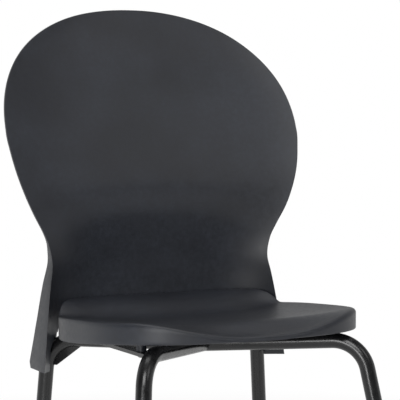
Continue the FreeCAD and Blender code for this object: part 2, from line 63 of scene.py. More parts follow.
def lineValue(rows, height):
    # straight lines between rows of height and value
    for (lowZ, low), (highZ, high) in zip(rows, rows[1:]):
        if height <= highZ:
            return low + (high - low) * max(height - lowZ, 0) / (highZ - lowZ)
    return rows[-1][1]


def outlineScale(angle, power):
    # how far out a rounded square's outline is at an angle, for a half width of 1
    return (abs(math.cos(angle)) ** power + abs(math.sin(angle)) ** power) ** (-1 / power)


# Materials

def addNode(tree, kind, settings=None, links=None, stops=None):
    # settings by attribute or socket, links as socket: (node, output), stops as (place, color)
    made = tree.nodes.new(kind)
    for key, value in (settings or {}).items():
        if isinstance(key, str) and hasattr(made, key):
            setattr(made, key, value)
        else:
            made.inputs[key].default_value = value
    for key, (source, output) in (links or {}).items():
        tree.links.new(source.outputs[output], made.inputs[key])
    for index, (position, color) in enumerate(stops or []):
        made.color_ramp.elements[index].position = position
        made.color_ramp.elements[index].color = color
    return made


def newMaterial(name):
    material = bpy.data.materials.new(name)
    material.use_nodes = True
    tree = material.node_tree
    tree.nodes.clear()
    return material, tree


# grain is the width of one pit and relief its depth. The real grain is about 0.2 mm wide, too fine
# to show in the picture, so it is drawn coarser
plastic = {
    "shell": {"name": "moulded polypropylene", "color": "1a1c22", "worn": "23262d", "roughness": 0.45,
              "grain": 1.1, "relief": 0.06},
    "trim": {"name": "moulded polyethylene", "color": "121213", "worn": "1f1f20", "roughness": 0.5,
             "grain": 0.8, "relief": 0.04},
}
# drift is the width of a patch of paler colour, rub that of a mark left by clothes and hands
plasticWear = {"drift": 111, "rub": 7.14, "dark": (0.82, 0.82, 0.82, 1), "light": (1.15, 1.15, 1.16, 1),
               "glossier": 0.05, "duller": 0.07, "strength": 0.55}


def mouldedPlastic(look):
    # injection moulded in a spark-eroded tool: the fine grain takes the mirror out of the plastic,
    # which leaves a broad soft sheen, a little darker and glossier where it is rubbed
    wear = plasticWear
    material, tree = newMaterial(look["name"])
    coords = addNode(tree, "ShaderNodeTexCoord")
    grain = addNode(tree, "ShaderNodeTexNoise",
                    {"Scale": 1 / (look["grain"] * mm), "Detail": 4.0, "Roughness": 0.6},
                    {"Vector": (coords, "Object")})
    drift = addNode(tree, "ShaderNodeTexNoise",
                    {"Scale": 1 / (wear["drift"] * mm), "Detail": 3.0, "Roughness": 0.5},
                    {"Vector": (coords, "Object")})
    rub = addNode(tree, "ShaderNodeTexNoise",
                  {"Scale": 1 / (wear["rub"] * mm), "Detail": 6.0, "Roughness": 0.7},
                  {"Vector": (coords, "Object")})
    tone = addNode(tree, "ShaderNodeValToRGB", links={"Fac": (drift, "Fac")},
                   stops=[(0.35, linear(look["color"])), (0.7, linear(look["worn"]))])
    speck = addNode(tree, "ShaderNodeValToRGB", links={"Fac": (rub, "Fac")},
                    stops=[(0.42, wear["dark"]), (0.68, wear["light"])])
    color = addNode(tree, "ShaderNodeMix", {"data_type": "RGBA", "blend_type": "MULTIPLY", 0: 1.0},
                    {6: (tone, "Color"), 7: (speck, "Color")})
    gloss = addNode(tree, "ShaderNodeMapRange",
                    {"From Min": 0.3, "From Max": 0.7, "To Min": look["roughness"] - wear["glossier"],
                     "To Max": look["roughness"] + wear["duller"]},
                    {"Value": (rub, "Fac")})
    bump = addNode(tree, "ShaderNodeBump",
                   {"Strength": wear["strength"], "Distance": look["relief"] * mm},
                   {"Height": (grain, "Fac")})
    shader = addNode(tree, "ShaderNodeBsdfPrincipled", {"IOR": 1.49, "Metallic": 0.0},
                     {"Base Color": (color, 2), "Roughness": (gloss, "Result"),
                      "Normal": (bump, "Normal")})
    addNode(tree, "ShaderNodeOutputMaterial", links={"Surface": (shader, "BSDF")})
    return material


# peel is the width of one wave of orange peel and relief its height, scuff the width of a scuffed patch
paint = {"name": "gloss black powder coat", "color": "0a0a0b", "scuffed": "161617", "roughness": 0.2,
         "duller": 0.14, "peel": 3.5, "relief": 0.02, "scuff": 16.67, "strength": 0.3}


def powderCoat(look):
    # polyester powder melted onto steel: glossy black with orange peel, so that highlights have
    # wavy edges, and duller where chairs have rubbed in the stack
    material, tree = newMaterial(look["name"])
    coords = addNode(tree, "ShaderNodeTexCoord")
    peel = addNode(tree, "ShaderNodeTexNoise",
                   {"Scale": 1 / (look["peel"] * mm), "Detail": 2.0, "Roughness": 0.4},
                   {"Vector": (coords, "Object")})
    scuff = addNode(tree, "ShaderNodeTexNoise",
                    {"Scale": 1 / (look["scuff"] * mm), "Detail": 8.0, "Roughness": 0.75},
                    {"Vector": (coords, "Object")})
    gloss = addNode(tree, "ShaderNodeMapRange",
                    {"From Min": 0.35, "From Max": 0.75, "To Min": look["roughness"],
                     "To Max": look["roughness"] + look["duller"]},
                    {"Value": (scuff, "Fac")})
    tone = addNode(tree, "ShaderNodeValToRGB", links={"Fac": (scuff, "Fac")},
                   stops=[(0.4, linear(look["color"])), (0.8, linear(look["scuffed"]))])
    bump = addNode(tree, "ShaderNodeBump",
                   {"Strength": look["strength"], "Distance": look["relief"] * mm},
                   {"Height": (peel, "Fac")})
    shader = addNode(tree, "ShaderNodeBsdfPrincipled", {"IOR": 1.5, "Metallic": 0.0},
                     {"Base Color": (tone, "Color"), "Roughness": (gloss, "Result"),
                      "Normal": (bump, "Normal")})
    addNode(tree, "ShaderNodeOutputMaterial", links={"Surface": (shader, "BSDF")})
    return material


# mottle is the width of a cloud in the passivated film, marks the width of a forging mark
zinc = {"name": "zinc plated steel", "color": "b9bab8", "dull": "8c8d8b", "roughness": 0.34,
        "glossier": 0.08, "duller": 0.12, "mottle": 2.38, "marks": 0.417, "relief": 0.02, "strength": 0.2}


def platedSteel(look):
    # electroplated and passivated: a pale metal, slightly clouded in colour and gloss
    material, tree = newMaterial(look["name"])
    coords = addNode(tree, "ShaderNodeTexCoord")
    mottle = addNode(tree, "ShaderNodeTexNoise",
                     {"Scale": 1 / (look["mottle"] * mm), "Detail": 5.0, "Roughness": 0.6},
                     {"Vector": (coords, "Object")})
    marks = addNode(tree, "ShaderNodeTexNoise", {"Scale": 1 / (look["marks"] * mm), "Detail": 2.0},
                    {"Vector": (coords, "Object")})
    tone = addNode(tree, "ShaderNodeValToRGB", links={"Fac": (mottle, "Fac")},
                   stops=[(0.3, linear(look["dull"])), (0.7, linear(look["color"]))])
    gloss = addNode(tree, "ShaderNodeMapRange",
                    {"From Min": 0.3, "From Max": 0.7, "To Min": look["roughness"] - look["glossier"],
                     "To Max": look["roughness"] + look["duller"]},
                    {"Value": (mottle, "Fac")})
    bump = addNode(tree, "ShaderNodeBump",
                   {"Strength": look["strength"], "Distance": look["relief"] * mm},
                   {"Height": (marks, "Fac")})
    shader = addNode(tree, "ShaderNodeBsdfPrincipled", {"Metallic": 1.0},
                     {"Base Color": (tone, "Color"), "Roughness": (gloss, "Result"),
                      "Normal": (bump, "Normal")})
    addNode(tree, "ShaderNodeOutputMaterial", links={"Surface": (shader, "BSDF")})
    return material


slotMaterials = {
    "shell": mouldedPlastic(plastic["shell"]), "frame": powderCoat(paint),
    "trim": mouldedPlastic(plastic["trim"]), "fasteners": platedSteel(zinc),
}
print("materials made:", len(slotMaterials))


# Modelling helpers

def clearSelection():
    bpy.ops.object.select_all(action="DESELECT")


def newest(name):
    # the piece that was just added, named
    obj = bpy.context.active_object
    obj.name = name
    obj.data.name = name
    return obj


def selectWhere(obj, kind, test):
    # selects only those faces or edges that pass the test, and counts them
    bm = bmesh.from_edit_mesh(obj.data)
    for part in (*bm.verts, *bm.edges, *bm.faces):
        part.select = False
    found = [part for part in getattr(bm, kind) if test(part)]
    for part in found:
        part.select_set(True)
    bmesh.update_edit_mesh(obj.data)
    return len(found)


def bevelSharp(offset, segments):
    # rounds every edge of the piece in edit mode that is sharper than 50 degrees
    bpy.ops.mesh.select_all(action="DESELECT")
    bpy.ops.mesh.edges_select_sharp(sharpness=math.radians(50))
    bpy.ops.mesh.bevel(offset=offset * mm, segments=segments, affect="EDGES", clamp_overlap=True)


def joinPieces(main, others):
    clearSelection()
    for other in others:
        other.select_set(True)
    main.select_set(True)
    bpy.context.view_layer.objects.active = main
    bpy.ops.object.join()


def finishPiece(obj, slotName, node, angle=35):
    clearSelection()
    obj.select_set(True)
    bpy.context.view_layer.objects.active = obj
    bpy.ops.object.transform_apply(location=True, rotation=True, scale=True)
    bpy.ops.object.mode_set(mode="EDIT")
    bpy.ops.mesh.select_all(action="SELECT")
    bpy.ops.mesh.normals_make_consistent(inside=False)
    bpy.ops.object.mode_set(mode="OBJECT")
    bpy.ops.object.shade_smooth_by_angle(angle=math.radians(angle))
    obj.data.materials.clear()
    obj.data.materials.append(slotMaterials[slotName])
    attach(obj, "root")
    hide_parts(node)


# Frame: straight runs extruded and bends spun, as the tube bender makes them

frameLine = {
    "frontFloor": (221.4, -239, 0), "frontBend": (169.4, -157, 402.5), "crossing": (0, 0.758, 387.5),
    "rearBend": (176.7, 165.3, 385.5), "rearFloor": (205, 183.5, 0),
    "uprightLow": (174.6, 168.3, 377), "uprightBend": (154, 182, 492), "uprightTop": (150, 178, 600),
    "tubeEnd": 6,  # the legs end this far above the floor, inside their feet
    "frontRadius": 50, "crossingRadius": 300, "rearRadius": 48, "uprightBendRadius": 150,
    "tubeRadius": 11.1, "uprightRadius": 9.5,
    "sides": 48, "run": 50, "step": 4,  # faces round a tube, mm and degrees between its rings
}


def framePoint(sign, name):
    # a named point of the frame, on the sitter's right for -1 and left for 1
    across, depth, height = frameLine[name]
    return place(sign * across, depth, height)


def legPath(sign, end):
    floorPoint = framePoint(sign, end + "Floor")
    bend = framePoint(sign, end + "Bend")
    return [floorPoint.lerp(bend, frameLine["tubeEnd"] * mm / bend.z), bend]


def extrudeRun(start, end):
    runs = max(1, round((end - start).length / (frameLine["run"] * mm)))
    for _ in range(runs):
        bpy.ops.mesh.extrude_region_move(TRANSFORM_OT_translate={"value": (end - start) / runs})


def bendTube(name, points, bendRadii, radius):
    start = points[0]
    heading = (points[1] - start).normalized()
    clearSelection()
    bpy.ops.mesh.primitive_circle_add(vertices=frameLine["sides"], radius=radius * mm, location=start,
                                      rotation=heading.to_track_quat("Z", "Y").to_euler())
    tube = newest(name)
    bpy.ops.object.transform_apply(location=True, rotation=True, scale=True)
    bpy.ops.object.mode_set(mode="EDIT")
    bpy.ops.mesh.select_all(action="SELECT")
    here = start
    for before, corner, after, bendRadius in zip(points, points[1:], points[2:], bendRadii):
        back = (before - corner).normalized()
        ahead = (after - corner).normalized()
        half = back.angle(ahead) / 2
        reach = bendRadius * mm / math.tan(half)
        center = corner + (back + ahead).normalized() * (bendRadius * mm / math.sin(half))
        extrudeRun(here, corner + back * reach)
        turn = math.pi - 2 * half
        steps = max(4, round(math.degrees(turn) / frameLine["step"]))
        bpy.ops.mesh.spin(steps=steps, angle=turn, center=center, axis=back.cross(ahead).normalized())
        here = corner + ahead * reach
    extrudeRun(here, points[-1])
    bpy.ops.mesh.select_all(action="SELECT")
    bpy.ops.mesh.fill_holes(sides=0)
    bpy.ops.object.mode_set(mode="OBJECT")
    return tube


def makeFrame():
    s = frameLine
    crossing = framePoint(0, "crossing")
    frameTubes = {
        "frame_tube_long": (legPath(-1, "front") + [crossing] + legPath(1, "rear")[::-1],
                            [s["frontRadius"], s["crossingRadius"], s["rearRadius"]]),
        "frame_tube_rear_right": (legPath(-1, "rear") + [crossing], [s["rearRadius"]]),
        "frame_tube_front_left": (legPath(1, "front") + [crossing], [s["frontRadius"]]),
    }
    for name, (points, bendRadii) in frameTubes.items():
        finishPiece(bendTube(name + "_visual", points, bendRadii, s["tubeRadius"]), "frame", name)
    for sign, name in ((-1, "back_upright_right"), (1, "back_upright_left")):
        points = [framePoint(sign, key) for key in ("uprightLow", "uprightBend", "uprightTop")]
        tube = bendTube(name + "_visual", points, [s["uprightBendRadius"]], s["uprightRadius"])
        finishPiece(tube, "frame", name)
    print("tubes bent:", len(frameTubes) + 2)


makeFrame()

# Back: balloon, waist and skirts

backShell = {
    "thick": 5, "top": 881.3, "halfWidth": 244.3, "wideHeight": 697, "squareness": 2.2,
    "arch": 40,  # how much lower the hollow over the waist starts at the edges than in the middle
    "skirtLow": 341, "skirtTop": 545, "skirtFace": 22, "skirtWall": 4, "skirtSlant": 3, "panelLow": 405,
    "ridge": 3.0, "edge": 1.2,  # bevels of the front rim and of the other edges
    "across": 100, "skirtRows": 14, "bodyRows": 66, "crownRows": 32,  # the grid's columns and rows
    "strip": 0.06, "skirt": 0.22,  # shares of the columns over a skirt's wall, and over its whole face
    "foldTop": 400, "foldSpan": 60, "foldOuter": 3, "foldInner": 6,
    # height, middle depth, edge depth, half width, how late the face turns forward
    "sections": [
        (320, 172, 113, 204, 4.2), (342, 176, 116, 202.3, 4.2), (400, 183, 123, 196, 4.4),
        (445, 186, 129, 190, 4.5), (470, 186, 132.5, 186, 4.5), (498, 184, 137, 181.4, 4.2),
        (525, 179, 137.2, 186.2, 3.7), (545, 174, 134.6, 195.2, 3.2), (575, 166.5, 132.1, 212, 2.5),
        (605, 165, 133.8, 225.2, 2), (635, 171.5, 138.5, 235, 2), (665, 181.7, 146.5, 241.2, 2),
        (695, 192.5, 156.2, 244.3, 2), (755, 215.4, 182, 235, 2), (815, 238.7, 215.4, 196.5, 2),
        (850, 249.5, 234.5, 156, 2), (900, 263.5, 259.5, 79, 2), (950, 277, 277, 60, 2),
    ],
    # height, and how far across or back the edge is there
    "skirtInner": [(341, 183), (372, 181.4), (384, 175.5), (394, 167), (405, 163.5)],
    "skirtRear": [(341, 175.5), (350, 181.5), (381, 175), (418, 169), (466, 164.5), (490, 161),
                  (515, 152), (530, 144.5), (545, 138.5)],
    "panelColumn": [(405, 0.837), (450, 0.86)],  # the same column above, as a share of the half width
}
sectionColumns = {"middle": 1, "edge": 2, "halfWidth": 3, "late": 4}


def sectionValue(height, name):
    # a smooth curve through one column of the sections
    rows = backShell["sections"]
    column = sectionColumns[name]
    index = next((i for i in range(1, len(rows) - 2) if height <= rows[i + 1][0]), len(rows) - 3)
    if height < rows[1][0]:
        index = 0
    low, high = rows[index], rows[index + 1]
    before = rows[max(index - 1, 0)]
    after = rows[index + 2]
    span = high[0] - low[0]
    share = (height - low[0]) / span
    rest = 1 - share
    lowSlope = (high[column] - before[column]) / (high[0] - before[0]) * span
    highSlope = (after[column] - low[column]) / (after[0] - low[0]) * span
    return (low[column] * (1 + 2 * share) * rest ** 2 + high[column] * (3 - 2 * share) * share ** 2
            + lowSlope * share * rest ** 2 - highSlope * rest * share ** 2)


def backDepth(across, height):
    s = backShell
    reach = abs(across) / sectionValue(height, "halfWidth")
    late = sectionValue(height, "late")
    edge = sectionValue(height, "edge")
    middle = sectionValue(height + s["arch"] * min(reach, 1) ** 2, "middle")
    turn = reach ** late if reach < 1 else 1 + late * (reach - 1)
    # the skirts fold back a little more towards their ends
    inward = min(max(1 - reach, 0) * 10, 1)
    fold = smooth(s["foldTop"] - height, 0, s["foldSpan"]) * (s["foldOuter"] + s["foldInner"] * inward)
    return middle - (middle - edge) * turn + fold


def innerColumn(height):
    # inner edge of a skirt's front face, and the same column carried up the panel
    if height < backShell["panelLow"]:
        return lineValue(backShell["skirtInner"], height)
    return lineValue(backShell["panelColumn"], height) * sectionValue(height, "halfWidth")


def acrossAt(share, height):
    # how far out a column is: the panel, then a skirt's face, then the strip that its wall grows from
    s = backShell
    wide = sectionValue(height, "halfWidth")
    inner = innerColumn(height)
    outer = wide - s["skirtWall"]
    if share <= 1 - s["skirt"]:
        return inner * share / (1 - s["skirt"])
    if share <= 1 - s["strip"]:
        return inner + (outer - inner) * (share - 1 + s["skirt"]) / (s["skirt"] - s["strip"])
    return outer + (wide - outer) * (share - 1 + s["strip"]) / s["strip"]


def backPoint(column, row):
    # column -1..1 over the width, row 0..1 from the skirts' ends to the crown
    s = backShell
    step = row * (s["skirtRows"] + s["bodyRows"] + s["crownRows"])
    sign = 1 if column >= 0 else -1
    if step > s["skirtRows"] + s["bodyRows"] + 1e-6:
        # the crown: the square grid is drawn in to a rounded outline
        u = acrossAt(abs(column), s["wideHeight"]) / sectionValue(s["wideHeight"], "halfWidth")
        v = (step - s["skirtRows"] - s["bodyRows"]) / s["crownRows"]
        x, z = u * math.sqrt(1 - v * v / 2), v * math.sqrt(1 - u * u / 2)
        scale = outlineScale(math.atan2(z, x), s["squareness"])
        rise = (s["top"] - s["wideHeight"]) * z * scale
        return sign * s["halfWidth"] * x * scale, s["wideHeight"] + rise
    if step > s["skirtRows"]:
        share = (step - s["skirtRows"]) / s["bodyRows"]
        height = s["panelLow"] + (s["wideHeight"] - s["panelLow"]) * share
        return sign * acrossAt(abs(column), height), height
    # the skirts, whose ends slant down towards the inside
    height = s["skirtLow"] + (s["panelLow"] - s["skirtLow"]) * step / s["skirtRows"]
    across = acrossAt(abs(column), height)
    fromEdge = (sectionValue(height, "halfWidth") - across) / s["skirtFace"]
    return sign * across, height - s["skirtSlant"] * (1 - step / s["skirtRows"]) * fromEdge


def makeBack():
    s = backShell
    rows = s["skirtRows"] + s["bodyRows"] + s["crownRows"]
    clearSelection()
    bpy.ops.mesh.primitive_grid_add(x_subdivisions=s["across"], y_subdivisions=rows, size=2,
                                    location=(0, 0, 0))
    back = newest("back_shell_visual")
    for vertex in back.data.vertices:
        across, height = backPoint(vertex.co.x, (vertex.co.y + 1) / 2)
        vertex.co = place(across, backDepth(across, height), height)

    def inGap(face):
        # the open space between the skirts
        return (max(v.co.z for v in face.verts) < s["panelLow"] * mm + 1e-5
                and min(abs(v.co.x) / mm - innerColumn(v.co.z / mm) for v in face.verts) < -0.5)

    def onFront(vertex):
        front = place(0, backDepth(vertex.co.x / mm, vertex.co.z / mm), 0)
        return abs(vertex.co.y - front.y) < 0.4 * mm

    def onSkirtStrip(face):
        # the last strip of the rear face, which the outer walls of the skirts grow from
        height = face.calc_center_median().z
        if any(onFront(v) for v in face.verts) or height > s["skirtTop"] * mm or face.calc_area() == 0:
            return False
        inset = min(abs(v.co.x) / mm - sectionValue(v.co.z / mm, "halfWidth") for v in face.verts)
        return inset + s["skirtWall"] > -0.3

    def onFrontRim(edge):
        if not all(onFront(v) for v in edge.verts) or len(edge.link_faces) != 2:
            return False
        return sum(all(onFront(v) for v in face.verts) for face in edge.link_faces) == 1

    bpy.ops.object.mode_set(mode="EDIT")
    selectWhere(back, "faces", inGap)
    bpy.ops.mesh.delete(type="FACE")
    bpy.ops.mesh.select_all(action="SELECT")
    bpy.ops.mesh.extrude_region_move(TRANSFORM_OT_translate={"value": (0, s["thick"] * mm, 0)})
    stripFaces = selectWhere(back, "faces", onSkirtStrip)
    bpy.ops.mesh.extrude_region_move(TRANSFORM_OT_translate={"value": (0, 0, 0)})
    bm = bmesh.from_edit_mesh(back.data)
    for vertex in [v for v in bm.verts if v.select]:
        rear = place(0, lineValue(s["skirtRear"], vertex.co.z / mm), 0).y
        vertex.co.y = max(rear, vertex.co.y + 0.3 * mm)
    bmesh.update_edit_mesh(back.data)
    rimEdges = selectWhere(back, "edges", onFrontRim)
    bpy.ops.mesh.bevel(offset=s["ridge"] * mm, segments=4, affect="EDGES", clamp_overlap=True)
    bevelSharp(s["edge"], 2)
    bpy.ops.object.mode_set(mode="OBJECT")
    print("back:", stripFaces, "skirt faces,", rimEdges, "rim edges,", len(back.data.vertices), "vertices")
    return back


# Sockets behind the back: a sleeve over each upright, a web to the panel and a boss for the screw

sockets = {
    "base": (178, 166, 358), "rise": 75,  # the sleeve starts this far up the line from the base
    "radius": 12.2, "webThick": 4, "webLow": 472, "webHigh": 596, "webSink": 2, "webCuts": 11,
    "bossRadius": 6, "bossSides": 32, "bossEdge": 0.6, "screwHeight": 560,
}


def uprightAt(height):
    # how far across and back the upper run of an upright is
    (bendX, bendY, bendZ), (topX, topY, topZ) = frameLine["uprightBend"], frameLine["uprightTop"]
    share = (height - bendZ) / (topZ - bendZ)
    return bendX + (topX - bendX) * share, bendY + (topY - bendY) * share


def makeSleeve(sign):
    across, depth, height = sockets["base"]
    base, bend = place(sign * across, depth, height), framePoint(sign, "uprightBend")
    begin = base + (bend - base).normalized() * sockets["rise"] * mm
    return bendTube("sleeve", [begin, bend, framePoint(sign, "uprightTop")],
                    [frameLine["uprightBendRadius"]], sockets["radius"])


def makeWeb(sign):
    # a flat box, cut up and then drawn between the panel and the upright's middle line
    s = sockets
    across = (frameLine["uprightBend"][0] + frameLine["uprightTop"][0]) / 2
    middle = place(sign * across, 0, (s["webLow"] + s["webHigh"]) / 2)
    clearSelection()
    bpy.ops.mesh.primitive_cube_add(size=1, location=middle,
                                    scale=(s["webThick"] * mm, 1, (s["webHigh"] - s["webLow"]) * mm))
    web = newest("web")
    bpy.ops.object.transform_apply(location=True, rotation=True, scale=True)
    bpy.ops.object.mode_set(mode="EDIT")
    bpy.ops.mesh.subdivide(number_cuts=s["webCuts"])
    bpy.ops.object.mode_set(mode="OBJECT")
    for vertex in web.data.vertices:
        height = vertex.co.z / mm
        front = backDepth(across, height) + s["webSink"]
        rear = uprightAt(height)[1]
        share = min(max(vertex.co.y + 0.5, 0), 1)
        vertex.co.y = place(0, front + (rear - front) * share, 0).y
    return web


def makeBoss(sign):
    s = sockets
    across, depth = uprightAt(s["screwHeight"])
    length = (s["radius"] + 1) * mm
    spot = place(sign * across, depth, s["screwHeight"]) + Vector((0, length / 2, 0))
    clearSelection()
    bpy.ops.mesh.primitive_cylinder_add(vertices=s["bossSides"], radius=s["bossRadius"] * mm, depth=length,
                                        location=spot, rotation=(math.pi / 2, 0, 0))
    boss = newest("boss")
    bpy.ops.object.mode_set(mode="EDIT")
    bevelSharp(s["bossEdge"], 2)
    bpy.ops.object.mode_set(mode="OBJECT")
    return boss


back = makeBack()
joinPieces(back, [make(sign) for sign in (-1, 1) for make in (makeSleeve, makeWeb, makeBoss)])
finishPiece(back, "shell", "back_shell", angle=40)
print("back made")

# Seat: dish, rolled rim, deep side wall

seat = {
    "halfWidth": 202, "halfDepth": 181, "forward": 5.5, "squareness": 3, "thick": 5, "cove": 3,
    "rim": 435, "slope": 0.079, "dish": 13, "dishPower": 2.5,
    # the raised lip behind starts later and ends sooner towards the corners
    "lip": 22, "lipFrom": 84, "lipTo": 160, "lipCorner": 185, "lateStart": 16, "earlyEnd": 30,
    "fall": 26, "fallDepth": 72, "fallFrom": 20, "fallTo": 220,
    "wallRear": 394.5, "wallFront": 416.5, "wallFrom": -110, "wallTo": 190,
    "roundRear": 3.2, "roundFront": 7.5, "roundFrom": -70, "roundTo": 90,
    "angles": 216, "topRings": 26, "wallRings": 5, "lowRings": 14,
    "lowEdge": ((0.3, 1), (1.2, 0.15), (2.5, 0), (3.8, 0.15), (4.7, 1)),  # inset and rise
}
seatPosts = {"across": 150, "depths": (-105, 85), "radius": 7, "flare": 2, "flareHeight": 60, "sides": 32,
             "sink": 3, "barHeight": 393.8, "barRear": 165.3, "barAngle": 0.5, "barThick": 5.1}
barNotch = {"across": 150, "depth": 150, "height": 385.6, "size": (23, 80, 30)}


def seatTop(across, along):
    s = seat
    power = s["squareness"]
    reach = (abs(across / s["halfWidth"]) ** power
             + abs((along + s["forward"]) / s["halfDepth"]) ** power) ** (1 / power)
    corner = min(abs(across) / s["lipCorner"], 1) ** 4
    lip = smooth(along, s["lipFrom"] + s["lateStart"] * corner, s["lipTo"] - s["earlyEnd"] * corner)
    front = -s["forward"] - s["halfDepth"]
    fall = (smooth(front + s["fallDepth"] - along, 0, s["fallDepth"])
            * (1 - smooth(abs(across), s["fallFrom"], s["fallTo"])))
    rim = s["rim"] - s["slope"] * along + s["lip"] * lip - s["fall"] * fall
    return rim - s["dish"] * (1 - min(reach, 1) ** s["dishPower"])


def seatWallLow(along):
    s = seat
    return s["wallRear"] + (s["wallFront"] - s["wallRear"]) * smooth(-along, s["wallFrom"], s["wallTo"])


def seatRound(along):
    # the rim's rounding is tight behind and wide at the front
    s = seat
    return s["roundRear"] + (s["roundFront"] - s["roundRear"]) * smooth(-along, s["roundFrom"], s["roundTo"])


def seatRings():
    # each ring: share of the way out, inset at the outline, and height, for a place and its rounding r
    s = seat
    thick, cove = s["thick"], s["cove"]
    rings = []

    def onTop(drop, turn=0):
        return lambda x, y, r: seatTop(x, y) - drop - r * turn

    def onWall(share):
        return lambda x, y, r: (seatTop(x, y) - r) * (1 - share) + (seatWallLow(y) + 2) * share

    def onInnerWall(share):
        return lambda x, y, r: (seatWallLow(y) + 1) * (1 - share) + (seatTop(x, y) - thick - cove) * share

    for i in range(s["topRings"] + 1):
        rings.append((i / s["topRings"], lambda r: r, onTop(0)))
    for angle in (math.radians(degrees) for degrees in (15, 30, 45, 60, 75, 90)):
        rings.append((1, lambda r, a=angle: r * (1 - math.sin(a)), onTop(0, 1 - math.cos(angle))))
    for i in range(1, s["wallRings"] + 1):
        rings.append((1, lambda r: 0, onWall(i / s["wallRings"])))
    for inset, rise in s["lowEdge"]:
        rings.append((1, lambda r, inset=inset: inset, lambda x, y, r, rise=rise: seatWallLow(y) + rise))
    for i in range(1, s["wallRings"]):
        rings.append((1, lambda r: thick, onInnerWall(i / s["wallRings"])))
    for angle in (math.radians(degrees) for degrees in (0, 30, 60, 90)):
        rings.append((1, lambda r, a=angle: thick + cove * (1 - math.cos(a)),
                      onTop(thick + cove * (1 - math.sin(angle)))))
    for i in range(s["lowRings"] - 1, -1, -1):
        rings.append((i / s["lowRings"], lambda r: thick + cove, onTop(thick)))
    return rings


def makeSeatDish():
    # a grid whose columns go round the seat and whose rows are the rings
    s = seat
    rings = seatRings()
    clearSelection()
    bpy.ops.mesh.primitive_grid_add(x_subdivisions=s["angles"], y_subdivisions=len(rings) - 1, size=2,
                                    location=(0, 0, 0))
    made = newest("seat_shell_visual")
    for vertex in made.data.vertices:
        angle = math.pi * vertex.co.x
        reach, inset, height = rings[round((vertex.co.y + 1) / 2 * (len(rings) - 1))]
        scale = outlineScale(angle, s["squareness"])
        rounding = seatRound(s["halfDepth"] * scale * math.sin(angle) - s["forward"])
        across = (s["halfWidth"] - inset(rounding)) * reach * scale * math.cos(angle)
        along = (s["halfDepth"] - inset(rounding)) * reach * scale * math.sin(angle) - s["forward"]
        vertex.co = place(across, along, height(across, along, rounding))
    bpy.ops.object.mode_set(mode="EDIT")
    bpy.ops.mesh.select_all(action="SELECT")
    bpy.ops.mesh.remove_doubles(threshold=0.02 * mm)
    bpy.ops.mesh.normals_make_consistent(inside=False)
    bpy.ops.object.mode_set(mode="OBJECT")
    return made


def cutNotch(made, sign):
    # room for the side bar under the seat's wall
    s = barNotch
    clearSelection()
    bpy.ops.mesh.primitive_cube_add(size=1, location=place(sign * s["across"], s["depth"], s["height"]),
                                    scale=[size * mm for size in s["size"]])
    notch = newest("notch")
    cut = made.modifiers.new("notch", "BOOLEAN")
    cut.operation, cut.object, cut.solver = "DIFFERENCE", notch, "EXACT"
    bpy.context.view_layer.objects.active = made
    bpy.ops.object.modifier_apply(modifier="notch")
    bpy.data.objects.remove(notch)


def makePost(sign, along):
    # a post from the side bar up into the dish, wider at its top
    s = seatPosts
    low = s["barHeight"] + (s["barRear"] - along) * math.tan(math.radians(s["barAngle"])) + s["barThick"]
    high = seatTop(sign * s["across"], along) - s["sink"]
    topRadius = s["radius"] + s["flare"] * (high - low) / s["flareHeight"]
    clearSelection()
    bpy.ops.mesh.primitive_cone_add(vertices=s["sides"], radius1=s["radius"] * mm, radius2=topRadius * mm,
                                    depth=(high - low) * mm,
                                    location=place(sign * s["across"], along, (low + high) / 2))
    return newest("post")


seatPiece = makeSeatDish()
for sign in (-1, 1):
    cutNotch(seatPiece, sign)
joinPieces(seatPiece, [makePost(sign, along) for sign in (-1, 1) for along in seatPosts["depths"]])
finishPiece(seatPiece, "shell", "seat_shell", angle=40)
print("seat:", len(seatPiece.data.vertices), "vertices")

# Feet: cups over the tube ends, cut level with the floor

feet = {"radius": 13.7, "height": 36, "below": 8, "bevel": 1.5, "sides": 48}


def makeFoot(name, sign, end):
    low = framePoint(sign, end + "Floor")
    axis = (framePoint(sign, end + "Bend") - low).normalized()
    length = (feet["height"] + feet["below"]) * mm
    clearSelection()
    bpy.ops.mesh.primitive_cylinder_add(vertices=feet["sides"], radius=feet["radius"] * mm, depth=length,
                                        location=low + axis * (length / 2 - feet["below"] * mm),
                                        rotation=axis.to_track_quat("Z", "Y").to_euler())
    foot = newest(name)
    bpy.ops.object.transform_apply(location=True, rotation=True, scale=True)
    bpy.ops.object.mode_set(mode="EDIT")
    bpy.ops.mesh.select_all(action="SELECT")
    bpy.ops.mesh.bisect(plane_co=(0, 0, 0), plane_no=(0, 0, 1), use_fill=True, clear_inner=True)
    bevelSharp(feet["bevel"], 3)
    bpy.ops.object.mode_set(mode="OBJECT")
    return foot


for end in ("front", "rear"):
    for sign, side in ((-1, "right"), (1, "left")):
        nodeName = "foot_" + end + "_" + side
        finishPiece(makeFoot(nodeName + "_visual", sign, end), "trim", nodeName)
print("feet made")

# The drawing's own pieces that are seen as they are
drawnPieces = {
    "frame": ("side_bar_right", "side_bar_left", "gusset_rear_right", "gusset_rear_left"),
    "trim": ("upright_cap_right", "upright_cap_left"),
    "fasteners": ("seat_screws", "seat_washers", "back_screws"),
}
for slotName, nodeNames in drawnPieces.items():
    for nodeName in nodeNames:
        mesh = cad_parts[nodeName].data
        mesh.materials.clear()
        mesh.materials.append(slotMaterials[slotName])
print("drawn pieces given their materials")

# Floor, background, lamps and camera, with their places in metres

photoCamera = {"from": (-1.1026, -2.1562, 0.7518), "heading": 26.985, "down": 3.67, "lens": 150.6}
floorLook = {"radius": 6.0, "sides": 96, "dark": "e4e4e4", "light": "eeeeee", "dust": 30.0,
             # in metres: the floor turns from a matte surface to plain white between these
             "shadowTo": 0.8, "whiteFrom": 1.8, "nearWhite": 0.6}
